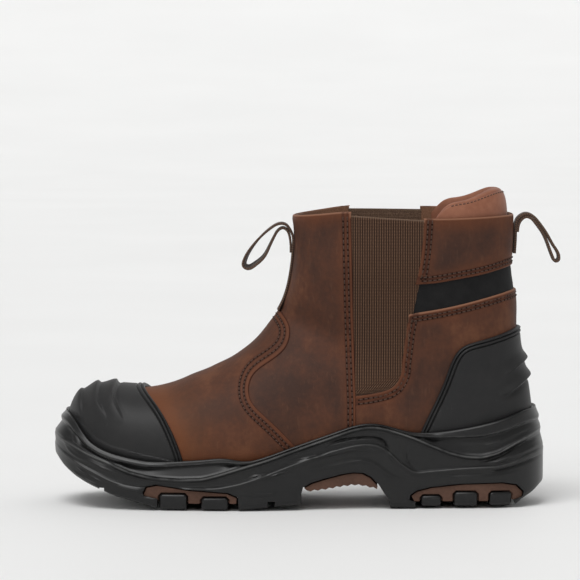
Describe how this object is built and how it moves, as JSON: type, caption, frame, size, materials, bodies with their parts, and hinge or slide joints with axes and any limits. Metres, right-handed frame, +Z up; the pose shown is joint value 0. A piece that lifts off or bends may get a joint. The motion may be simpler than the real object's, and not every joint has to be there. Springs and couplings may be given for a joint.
{
  "type": "safety boot",
  "caption": "Left pull-on safety boot with a leather upper, elastic side gores, moulded toe and heel guards, a padded collar, webbing pull loops and a lugged sole.",
  "frame": {"origin": "on the floor under the middle of the boot's bounding box", "axes": "+X from toe to heel, +Y towards the inner side of the foot, +Z up"},
  "size_m": [0.3217, 0.114, 0.1984],
  "materials": {
    "leather": "oiled nubuck, brown with darker patches",
    "elastic": "ribbed elastic webbing",
    "strip": "matt black",
    "pad": "smooth soft leather",
    "guard": "matt moulded",
    "webbing": "woven tape",
    "insole": "felted",
    "sole": "satin moulded",
    "tread": "matt brown"
  },
  "bodies": {
    "root": {"midsole": "sole", "tread_plate_forefoot": "tread", "tread_plate_arch": "tread", "tread_plate_heel": "tread", "lug_forefoot_1_lateral": "sole", "lug_forefoot_1_medial": "sole", "lug_forefoot_2_lateral": "sole", "lug_forefoot_2_medial": "sole", "lug_forefoot_mid_1": "sole", "lug_forefoot_mid_2": "sole", "lug_forefoot_mid_3": "sole", "lug_heel_1_lateral": "sole", "lug_heel_1_medial": "sole", "lug_heel_2_lateral": "sole", "lug_heel_2_medial": "sole", "lug_heel_3_lateral": "sole", "lug_heel_3_medial": "sole", "lug_heel_mid_1": "sole", "lug_heel_mid_2": "sole", "insole": "insole", "upper": "leather", "gore_lateral": "elastic", "gore_medial": "elastic", "collar_strip": "strip", "toe_cap": "guard", "heel_counter": "guard", "collar_pad": "pad", "pull_loop_front": "webbing", "pull_loop_rear": "webbing"}
  },
  "joints": []
}
